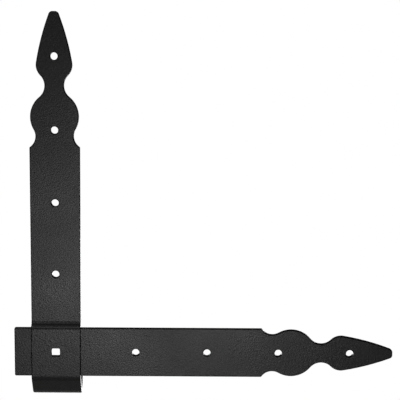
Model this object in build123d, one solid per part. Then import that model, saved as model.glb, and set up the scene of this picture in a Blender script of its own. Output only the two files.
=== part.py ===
from build123d import *
from math import acos, atan2, cos, degrees, hypot, radians, sin, sqrt
import os

# A corner strap hinge: two flat steel bars crossing at a right angle.
# The eye strap stands along +Z. A joggle lifts it over the cross strap, and its lower end
# is rolled backwards into an eye. The cross strap lies along +X, under that bridge.
# Millimetres. The origin is the centre of the eye's bore, at the middle of its length.
# The bore runs along X. -Y is the front, and the door's face is the plane behind both straps.

# Bar stock
bar_width = 40.3
bar_thickness = 4.0
front_edge_radius = 0.8
back_edge_radius = 0.4
corner_radius = 1.2

# Places, measured from the eye's axis
eye_to_crossing = 27.4
eye_behind_door_face = 9.0
bore_diameter = 13.5
eye_end_angle = 320.0

# Places along each strap, measured from the crossing
tip_reach = 275.0
stub_reach = 34.3
first_hole_reach = 65.0
last_hole_reach = 240.0
hole_count = 4
hole_diameter = 5.8
square_hole_side = 6.4
square_hole_rise = 0.9
square_hole_corner_radius = 1.0
bolt_clearance_diameter = 10.5
hole_rim_radius = 0.7

# The bridge over the cross strap
slide_gap = 0.15
joggle_foot_reach = 24.6
joggle_foot_radius = 3.0
joggle_top_reach = 22.2
joggle_top_radius = 5.0
lower_bend_reach = 21.5
lower_bend_radius = 8.0

# The decorated end, a chain of tangent arcs from the parallel bar to the tip
first_neck_half_width = 15.25
first_neck_radius = 10.4
bulge_reach = 192.2
bulge_half_width = 19.35
bulge_radius = 20.5
second_neck_half_width = 7.7
second_neck_radius = 11.4
spear_half_width = 14.4
spear_radius = 11.7
spear_side_radius = 200.0
nose_radius = 3.0
nose_half_flat = 1.1

# Cuts and blanks that reach well past what they shape
cut_depth = 4 * bar_thickness
blank_depth = 10 * bar_thickness
eye_blank_reach = 2 * eye_to_crossing

# How closely an edge must lie on a line or along an axis to be picked
on_line_tolerance = 0.01
along_axis_cosine = 0.99

# Worked out from the above
half_width = bar_width / 2
door_y = -eye_behind_door_face
strap_front_y = door_y - bar_thickness
bridge_front_y = strap_front_y - slide_gap - bar_thickness
crossing_z = eye_to_crossing
eye_outer_radius = bore_diameter / 2 + bar_thickness
blank_top_z = crossing_z + tip_reach + bar_width

# Local x runs from the crossing to the tip, local y across the bar, local z to the front
eye_strap_plane = Plane(origin=(0, door_y, crossing_z), x_dir=(0, 0, 1), z_dir=(0, -1, 0))
cross_strap_plane = Plane(origin=(0, door_y, crossing_z), x_dir=(1, 0, 0), z_dir=(0, -1, 0))


def arc_on(centre, start, end):
    """The shorter arc about a centre from one point to another."""
    middle = (start + end) * 0.5
    outward = (middle - centre).normalized()
    return ThreePointArc(start, centre + outward * (start - centre).length, end)


def centre_along(start, start_radius, side, end_y, end_radius):
    """The centre at height end_y whose circle touches the start circle from outside."""
    reach = sqrt((start_radius + end_radius) ** 2 - (end_y - start.Y) ** 2)
    return Vector(start.X + side * reach, end_y)


def touching_point(centre, radius, other, other_radius):
    """Where two circles that touch from outside meet."""
    return centre + (other - centre) * (radius / (radius + other_radius))


def enclosing_centre(first, first_radius, second, second_radius, radius):
    """The centre, below both, of the large circle that holds two small ones touching inside."""
    first_gap = radius - first_radius
    second_gap = radius - second_radius
    apart = (second - first).length
    along = (first_gap**2 - second_gap**2 + apart**2) / (2 * apart)
    below = sqrt(first_gap**2 - along**2)
    direction = (second - first) * (1 / apart)
    return first + direction * along + Vector(direction.Y, -direction.X) * below


def decorated_side():
    """One side of the decorated end, from the parallel bar to the flat of the tip."""
    bulge = Vector(bulge_reach, bulge_half_width - bulge_radius)
    first_neck_y = first_neck_half_width + first_neck_radius
    first_neck = centre_along(bulge, bulge_radius, -1, first_neck_y, first_neck_radius)
    second_neck_y = second_neck_half_width + second_neck_radius
    second_neck = centre_along(bulge, bulge_radius, 1, second_neck_y, second_neck_radius)
    spear_y = spear_half_width - spear_radius
    spear = centre_along(second_neck, second_neck_radius, 1, spear_y, spear_radius)
    nose = Vector(tip_reach - nose_radius, nose_half_flat)
    side = enclosing_centre(spear, spear_radius, nose, nose_radius, spear_side_radius)

    drop = first_neck_y - half_width
    shoulder = Vector(first_neck.X - sqrt(first_neck_radius**2 - drop**2), half_width)
    bulge_start = touching_point(bulge, bulge_radius, first_neck, first_neck_radius)
    bulge_end = touching_point(bulge, bulge_radius, second_neck, second_neck_radius)
    spear_start = touching_point(spear, spear_radius, second_neck, second_neck_radius)
    side_start = side + (spear - side).normalized() * spear_side_radius
    side_end = side + (nose - side).normalized() * spear_side_radius
    flat = Vector(tip_reach, nose_half_flat)
    return shoulder, [
        arc_on(first_neck, shoulder, bulge_start),
        arc_on(bulge, bulge_start, bulge_end),
        arc_on(second_neck, bulge_end, spear_start),
        arc_on(spear, spear_start, side_start),
        arc_on(side, side_start, side_end),
        arc_on(nose, side_end, flat),
        Line(flat, Vector(tip_reach, 0)),
    ]


def strap_outline(tail_reach):
    """The flat shape of a strap, from tail_reach behind the crossing to the tip."""
    shoulder, decoration = decorated_side()
    tail = Line((-tail_reach, 0), (-tail_reach, half_width))
    edge = Line((-tail_reach, half_width), shoulder)
    upper = Curve() + [tail, edge] + decoration
    outline = make_face(upper + mirror(upper, about=Plane.XZ))
    corners = outline.vertices().filter_by(lambda v: abs(v.Y) > bulge_half_width)
    return fillet(corners, corner_radius)


def drill_screw_holes(strap, plane):
    """Cut a strap's row of evenly spaced round holes."""
    spacing = (last_hole_reach - first_hole_reach) / (hole_count - 1)
    for number in range(hole_count):
        reach = first_hole_reach + spacing * number
        strap -= plane * Pos(reach, 0) * Cylinder(hole_diameter / 2, cut_depth)
    return strap


def round_hole_rims(strap):
    """Round the front rim of every hole, as a punch draws it in."""
    rims = []
    for face in strap.faces().filter_by(Axis.Y):
        if face.normal_at().Y < 0:
            for wire in face.inner_wires():
                rims.extend(wire.edges())
    return fillet(rims, hole_rim_radius)


def eye_point(angle, depth):
    """A point of the eye, depth below its outer surface; 0 is the front and 90 the bottom."""
    return Vector(-cos(radians(angle)), -sin(radians(angle))) * (eye_outer_radius - depth)


def towards_back(start, end):
    """The direction square to a stretch of the bar in side view, from its front to its back."""
    along = (end - start).normalized()
    return Vector(-along.Y, along.X)


def side_line(depth):
    """The bar in side view, depth behind its front surface, from above the tip round the eye."""
    bend = Vector(bridge_front_y, crossing_z - lower_bend_reach)
    bearing = degrees(atan2(bend.Y, -bend.X))
    eye_start_angle = degrees(acos(eye_outer_radius / hypot(bend.X, bend.Y))) - bearing
    eye_middle_angle = (eye_start_angle + eye_end_angle) / 2
    corners = [
        Vector(strap_front_y, blank_top_z),
        Vector(strap_front_y, crossing_z + joggle_foot_reach),
        Vector(bridge_front_y, crossing_z + joggle_top_reach),
        bend,
        eye_point(eye_start_angle, 0),
    ]
    across = [towards_back(start, end) for start, end in zip(corners, corners[1:])]
    line = [corners[0] + across[0] * depth]
    for corner, above, below in zip(corners[1:-1], across, across[1:]):
        line.append(corner + (above + below) * (depth / (1 + above.dot(below))))
    line.append(eye_point(eye_start_angle, depth))
    radii = [joggle_foot_radius + depth, joggle_top_radius - depth, lower_bend_radius - depth]
    flats = FilletPolyline(*line, radius=radii)
    eye = ThreePointArc(line[-1], eye_point(eye_middle_angle, depth), eye_point(eye_end_angle, depth))
    return Wire([*flats.edges(), *eye.edges()])


def edges_along(strap, side_view_line):
    """The edges of a strap that follow a line drawn in side view, along both of its sides."""
    line = Plane.YZ * side_view_line
    found = []
    for edge in strap.edges():
        middle = edge.position_at(0.5)
        crosswise = abs(edge.tangent_at(0.5).X) > along_axis_cosine and edge.geom_type == GeomType.LINE
        on_line = line.distance_to(Vector(0, middle.Y, middle.Z)) < on_line_tolerance
        if on_line and not crosswise:
            found.append(edge)
    return found


def make_eye_strap():
    """The bar with the joggle, the bridge's square hole and the rolled eye."""
    front = side_line(0)
    back = side_line(bar_thickness)
    top_end = Line((strap_front_y, blank_top_z), (door_y, blank_top_z))
    eye_end = Line(eye_point(eye_end_angle, 0), eye_point(eye_end_angle, bar_thickness))
    section = Wire([*front.edges(), *back.edges(), *top_end.edges(), *eye_end.edges()])
    bar = extrude(make_face(Plane.YZ * section), half_width, both=True)
    outline = eye_strap_plane * strap_outline(eye_blank_reach)
    strap = bar & extrude(outline, blank_depth, both=True)
    strap = fillet(edges_along(strap, front), front_edge_radius)
    strap = fillet(edges_along(strap, back), back_edge_radius)
    strap = drill_screw_holes(strap, eye_strap_plane)
    square = RectangleRounded(square_hole_side, square_hole_side, square_hole_corner_radius)
    strap -= extrude(eye_strap_plane * Pos(square_hole_rise, 0) * square, cut_depth)
    return round_hole_rims(strap)


def make_cross_strap():
    """The flat bar that lies under the bridge."""
    outline = cross_strap_plane * strap_outline(stub_reach)
    strap = extrude(outline, bar_thickness)
    strap = fillet(strap.faces().sort_by(Axis.Y).first.edges(), front_edge_radius)
    strap = fillet(strap.faces().sort_by(Axis.Y).last.edges(), back_edge_radius)
    strap = drill_screw_holes(strap, cross_strap_plane)
    strap -= cross_strap_plane * Cylinder(bolt_clearance_diameter / 2, cut_depth)
    return round_hole_rims(strap)


os.makedirs("parts", exist_ok=True)
export_step(make_eye_strap(), "parts/eye_strap.step")
export_step(make_cross_strap(), "parts/cross_strap.step")
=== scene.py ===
from math import radians

import bpy
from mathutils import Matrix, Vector


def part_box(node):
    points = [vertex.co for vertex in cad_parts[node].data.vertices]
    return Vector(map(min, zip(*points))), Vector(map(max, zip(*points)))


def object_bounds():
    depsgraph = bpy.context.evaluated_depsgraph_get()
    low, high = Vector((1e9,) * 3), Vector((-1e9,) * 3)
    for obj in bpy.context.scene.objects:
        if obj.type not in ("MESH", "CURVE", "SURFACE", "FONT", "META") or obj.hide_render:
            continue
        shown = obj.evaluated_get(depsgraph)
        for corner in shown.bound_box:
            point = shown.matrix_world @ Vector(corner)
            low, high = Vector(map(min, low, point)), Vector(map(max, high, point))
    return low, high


# A corner strap hinge in textured black powder coat, in a white studio.
# The low key softbox gives the coat its broad highlight. The others fill the bends and the back.
# Metres throughout. +Z runs up the eye strap, +X along the cross strap, -Y is the front.

# Camera
camera_distance = 0.8007
camera_across = 0.080
camera_height = 0.2659
camera_tilt = 7.944
camera_roll = -0.240
camera_pan = 0.341
camera_lens = 91.29
camera_shift = 0.1265
camera_clip_start = 0.01

# Studio
floor_drop = 0.60
floor_size = 8.0
floor_colour = (0.68, 0.68, 0.67, 1)
room_white = (1, 1, 1, 1)
room_fill = (0.03, 0.03, 0.03, 1)
key_size = (0.36, 0.10)
key_place = (0.08, -1.30, -0.150)
key_power = 2.7
top_size = (1.0, 0.8)
top_place = (-0.15, -0.15, 1.3)
top_power = 0.9
high_size = (0.7, 0.5)
high_place = (-0.1, -0.95, 0.95)
high_power = 1.6
back_size = (0.9, 0.5)
back_power = 7.0
back_reach = 1.1
back_drop = 0.45

# Powder coat
coat_colour_low = (0.002, 0.002, 0.0021, 1)
coat_colour_high = (0.004, 0.004, 0.0041, 1)
coat_roughness = (0.32, 0.40)
coat_specular = 0.5
grain_size = 0.0011
grain_detail = 2.0
pebble_size = 0.0004
pebble_detail = 1.0
pebble_share = 0.4
grain_depth = 0.00011
cloud_scale = 18.0
cloud_detail = 3.0
noise_range = (0.3, 0.7)
strap_offset = 0.37

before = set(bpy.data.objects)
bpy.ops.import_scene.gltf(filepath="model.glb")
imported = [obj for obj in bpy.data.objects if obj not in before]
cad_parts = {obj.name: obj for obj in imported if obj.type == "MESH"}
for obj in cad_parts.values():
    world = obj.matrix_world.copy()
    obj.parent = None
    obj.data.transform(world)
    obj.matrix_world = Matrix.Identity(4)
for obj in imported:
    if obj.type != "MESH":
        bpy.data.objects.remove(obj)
cad_low, cad_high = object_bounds()


def make_camera():
    """The camera, level with the upper part of the eye strap and tilted down a little."""
    front_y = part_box("eye_strap")[0].y
    data = bpy.data.cameras.new("camera")
    data.lens = camera_lens
    data.shift_x = camera_shift
    data.clip_start = camera_clip_start
    camera = bpy.data.objects.new("camera", data)
    camera.location = (camera_across, front_y - camera_distance, camera_height)
    camera.rotation_euler = (radians(90 - camera_tilt), radians(camera_roll), radians(camera_pan))
    bpy.context.collection.objects.link(camera)
    bpy.context.scene.camera = camera
    bpy.context.scene.view_settings.view_transform = "Standard"


def add_node(tree, kind, place, **sockets):
    """A shader node of a kind, with values for some of its input sockets."""
    node = tree.nodes.new(kind)
    node.location = place
    for name, value in sockets.items():
        node.inputs[name.replace("_", " ")].default_value = value
    return node


def make_room():
    """A white room that only fills the coat with a dim, even light."""
    world = bpy.data.worlds.new("room")
    bpy.context.scene.world = world
    world.use_nodes = True
    tree = world.node_tree
    tree.nodes.clear()
    path = add_node(tree, "ShaderNodeLightPath", (-600, 200))
    fill = add_node(tree, "ShaderNodeBackground", (-300, 100), Color=room_fill)
    seen = add_node(tree, "ShaderNodeBackground", (-300, -100), Color=room_white)
    mix = add_node(tree, "ShaderNodeMixShader", (0, 0))
    output = add_node(tree, "ShaderNodeOutputWorld", (200, 0))
    tree.links.new(path.outputs["Is Camera Ray"], mix.inputs[0])
    tree.links.new(fill.outputs[0], mix.inputs[1])
    tree.links.new(seen.outputs[0], mix.inputs[2])
    tree.links.new(mix.outputs[0], output.inputs["Surface"])


def floor_material():
    """A pale floor that the camera sees as the same white as the room."""
    material = bpy.data.materials.new("floor")
    material.use_nodes = True
    tree = material.node_tree
    tree.nodes.clear()
    path = add_node(tree, "ShaderNodeLightPath", (-600, 200))
    pale = add_node(tree, "ShaderNodeBsdfDiffuse", (-300, 100), Color=floor_colour)
    seen = add_node(tree, "ShaderNodeEmission", (-300, -100), Color=room_white)
    mix = add_node(tree, "ShaderNodeMixShader", (0, 0))
    output = add_node(tree, "ShaderNodeOutputMaterial", (200, 0))
    tree.links.new(path.outputs["Is Camera Ray"], mix.inputs[0])
    tree.links.new(pale.outputs[0], mix.inputs[1])
    tree.links.new(seen.outputs[0], mix.inputs[2])
    tree.links.new(mix.outputs[0], output.inputs["Surface"])
    return material


def make_floor():
    """A wide flat floor below the hinge."""
    half = floor_size / 2
    corners = [(-half, -half, 0), (half, -half, 0), (half, half, 0), (-half, half, 0)]
    mesh = bpy.data.meshes.new("floor")
    mesh.from_pydata(corners, [], [(0, 1, 2, 3)])
    floor = bpy.data.objects.new("floor", mesh)
    floor.location = (0, 0, cad_low.z - floor_drop)
    floor.data.materials.append(floor_material())
    bpy.context.collection.objects.link(floor)


def make_softbox(name, place, aim, size, power):
    """A rectangular softbox that faces a point."""
    data = bpy.data.lights.new(name, "AREA")
    data.shape = "RECTANGLE"
    data.size = size[0]
    data.size_y = size[1]
    data.energy = power
    light = bpy.data.objects.new(name, data)
    light.location = place
    light.rotation_euler = (Vector(aim) - Vector(place)).to_track_quat("-Z", "Y").to_euler()
    light.visible_camera = False
    bpy.context.collection.objects.link(light)


def make_lights():
    """A low key softbox in front, one high in front, one overhead, and three low behind."""
    centre = (cad_low + cad_high) / 2
    make_softbox("key", key_place, (key_place[0], 0, key_place[2]), key_size, key_power)
    make_softbox("high", high_place, centre, high_size, high_power)
    make_softbox("top", top_place, centre, top_size, top_power)
    for side in (-1, 0, 1):
        place = centre + Vector((side * back_reach, back_reach, -back_drop))
        make_softbox(f"back_{side}", place, centre, back_size, back_power)


def powder_coat(name, offset):
    """Fine-textured black powder coat: soft pebbles, with finer grain between them."""
    material = bpy.data.materials.new(name)
    material.use_nodes = True
    tree = material.node_tree
    tree.nodes.clear()
    link = tree.links.new
    coordinates = add_node(tree, "ShaderNodeTexCoord", (-1400, 0))
    moved = add_node(tree, "ShaderNodeMapping", (-1200, 0), Location=offset)
    link(coordinates.outputs["Object"], moved.inputs["Vector"])

    grain = add_node(tree, "ShaderNodeTexNoise", (-950, 200), Scale=1 / grain_size, Detail=grain_detail)
    pebbles = add_node(tree, "ShaderNodeTexNoise", (-950, -50), Scale=1 / pebble_size, Detail=pebble_detail)
    clouds = add_node(tree, "ShaderNodeTexNoise", (-950, -300), Scale=cloud_scale, Detail=cloud_detail)
    for texture in (grain, pebbles, clouds):
        link(moved.outputs["Vector"], texture.inputs["Vector"])

    colour = add_node(tree, "ShaderNodeValToRGB", (-650, 250))
    colour.color_ramp.elements[0].position = noise_range[0]
    colour.color_ramp.elements[0].color = coat_colour_low
    colour.color_ramp.elements[1].position = noise_range[1]
    colour.color_ramp.elements[1].color = coat_colour_high
    link(grain.outputs["Fac"], colour.inputs["Fac"])

    roughness = add_node(tree, "ShaderNodeMapRange", (-650, -250))
    roughness.inputs["From Min"].default_value = noise_range[0]
    roughness.inputs["From Max"].default_value = noise_range[1]
    roughness.inputs["To Min"].default_value = coat_roughness[0]
    roughness.inputs["To Max"].default_value = coat_roughness[1]
    link(clouds.outputs["Fac"], roughness.inputs["Value"])

    relief = add_node(tree, "ShaderNodeMath", (-650, 0))
    relief.operation = "MULTIPLY_ADD"
    relief.inputs[1].default_value = pebble_share
    link(pebbles.outputs["Fac"], relief.inputs[0])
    link(grain.outputs["Fac"], relief.inputs[2])
    bump = add_node(tree, "ShaderNodeBump", (-400, -50), Strength=1.0, Distance=grain_depth)
    link(relief.outputs[0], bump.inputs["Height"])

    shader = add_node(tree, "ShaderNodeBsdfPrincipled", (-150, 100))
    shader.inputs["Specular IOR Level"].default_value = coat_specular
    output = add_node(tree, "ShaderNodeOutputMaterial", (150, 100))
    link(colour.outputs["Color"], shader.inputs["Base Color"])
    link(roughness.outputs["Result"], shader.inputs["Roughness"])
    link(bump.outputs["Normal"], shader.inputs["Normal"])
    link(shader.outputs["BSDF"], output.inputs["Surface"])
    return material


def dress_straps():
    """Give each strap its own stretch of the coat."""
    for number, node in enumerate(("eye_strap", "cross_strap")):
        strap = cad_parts[node]
        strap.data.materials.clear()
        strap.data.materials.append(powder_coat(f"{node}_coat", (number * strap_offset, 0, 0)))


make_camera()
make_room()
make_floor()
make_lights()
dress_straps()
